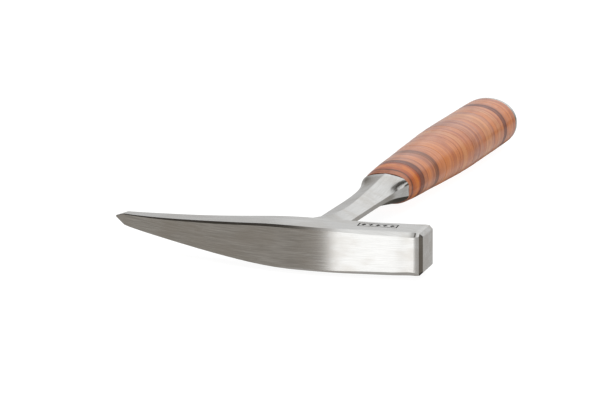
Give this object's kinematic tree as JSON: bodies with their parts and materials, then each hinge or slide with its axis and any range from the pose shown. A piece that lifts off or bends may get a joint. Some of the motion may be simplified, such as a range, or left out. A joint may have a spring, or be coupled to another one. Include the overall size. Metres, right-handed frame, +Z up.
{
  "type": "pick hammer",
  "caption": "All-steel pick hammer: forged head, shank and bolster in one piece, square striking face, long tapered pick and a turned grip of stacked leather rings.",
  "frame": {"origin": "under the middle of the object's box, at the height of the lowest side of the grip, with the hammer lying on its side", "axes": "+X from the handle axis towards the striking face, +Y down the handle towards the butt, +Z up through the cheeks of the head"},
  "size_m": [0.1774, 0.3134, 0.0275],
  "materials": {
    "forged_steel": "ground and lacquered, brushed along the crown",
    "plate_steel": "turned, satin",
    "leather_tan": "turned and lacquered, gloss",
    "leather_dark": "dyed dark brown, lacquered, gloss",
    "leather_plum": "dyed red-brown, lacquered, gloss"
  },
  "bodies": {
    "root": {"forging": "forged_steel", "leather_ring_01": "leather_tan", "leather_ring_02": "leather_tan", "leather_ring_03": "leather_tan", "leather_ring_04": "leather_dark", "leather_ring_05": "leather_tan", "leather_ring_06": "leather_tan", "leather_ring_07": "leather_tan", "leather_ring_08": "leather_dark", "leather_ring_09": "leather_tan", "leather_ring_10": "leather_tan", "leather_ring_11": "leather_tan", "leather_ring_12": "leather_tan", "leather_ring_13": "leather_tan", "leather_ring_14": "leather_tan", "leather_ring_15": "leather_tan", "leather_ring_16": "leather_tan", "leather_ring_17": "leather_tan", "leather_ring_18": "leather_tan", "leather_ring_19": "leather_plum", "leather_ring_20": "leather_tan", "leather_ring_21": "leather_plum", "leather_ring_22": "leather_tan", "leather_ring_23": "leather_tan", "leather_ring_24": "leather_tan", "leather_ring_25": "leather_dark", "leather_ring_26": "leather_tan", "leather_ring_27": "leather_tan", "leather_ring_28": "leather_tan", "leather_ring_29": "leather_dark", "leather_ring_30": "leather_tan", "leather_ring_31": "leather_tan", "leather_ring_32": "leather_tan", "butt_plate": "plate_steel"}
  },
  "joints": []
}
